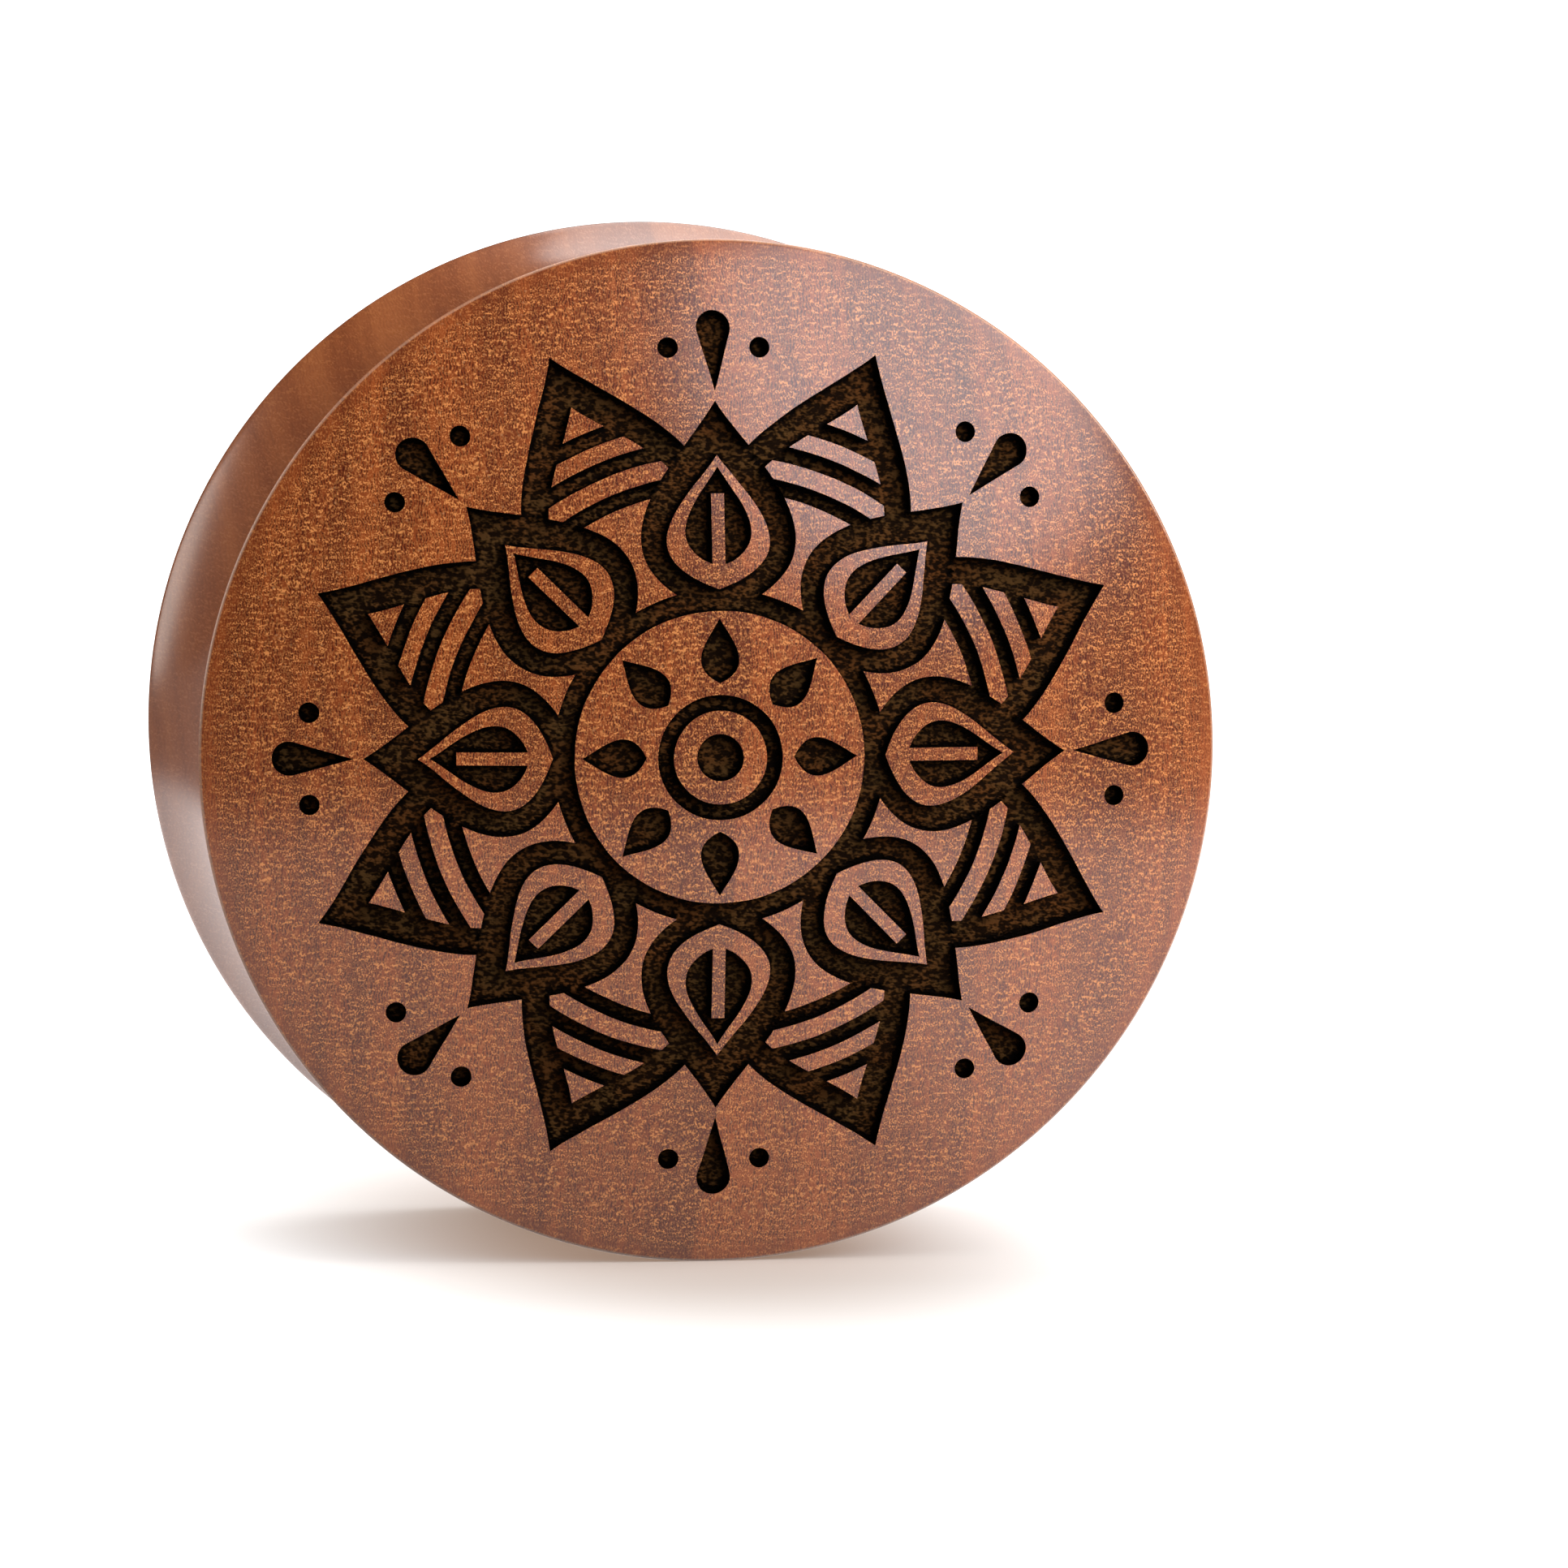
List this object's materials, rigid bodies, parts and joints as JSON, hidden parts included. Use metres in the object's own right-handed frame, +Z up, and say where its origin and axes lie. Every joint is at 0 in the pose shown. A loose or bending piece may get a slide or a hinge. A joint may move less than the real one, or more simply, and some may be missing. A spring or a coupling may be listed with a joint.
{
  "type": "ear plug gauge",
  "caption": "Double-flared wooden ear plug gauge with a domed, engraved front face and a flat back.",
  "frame": {"origin": "on the surface it rests on, under the middle of its length", "axes": "+Y along the turning axis, from the engraved front face to the flat back; +Z up"},
  "size_m": [0.027, 0.0156, 0.027],
  "materials": {
    "wood": "satin"
  },
  "bodies": {
    "root": {"ear_plug": "wood"}
  },
  "joints": []
}
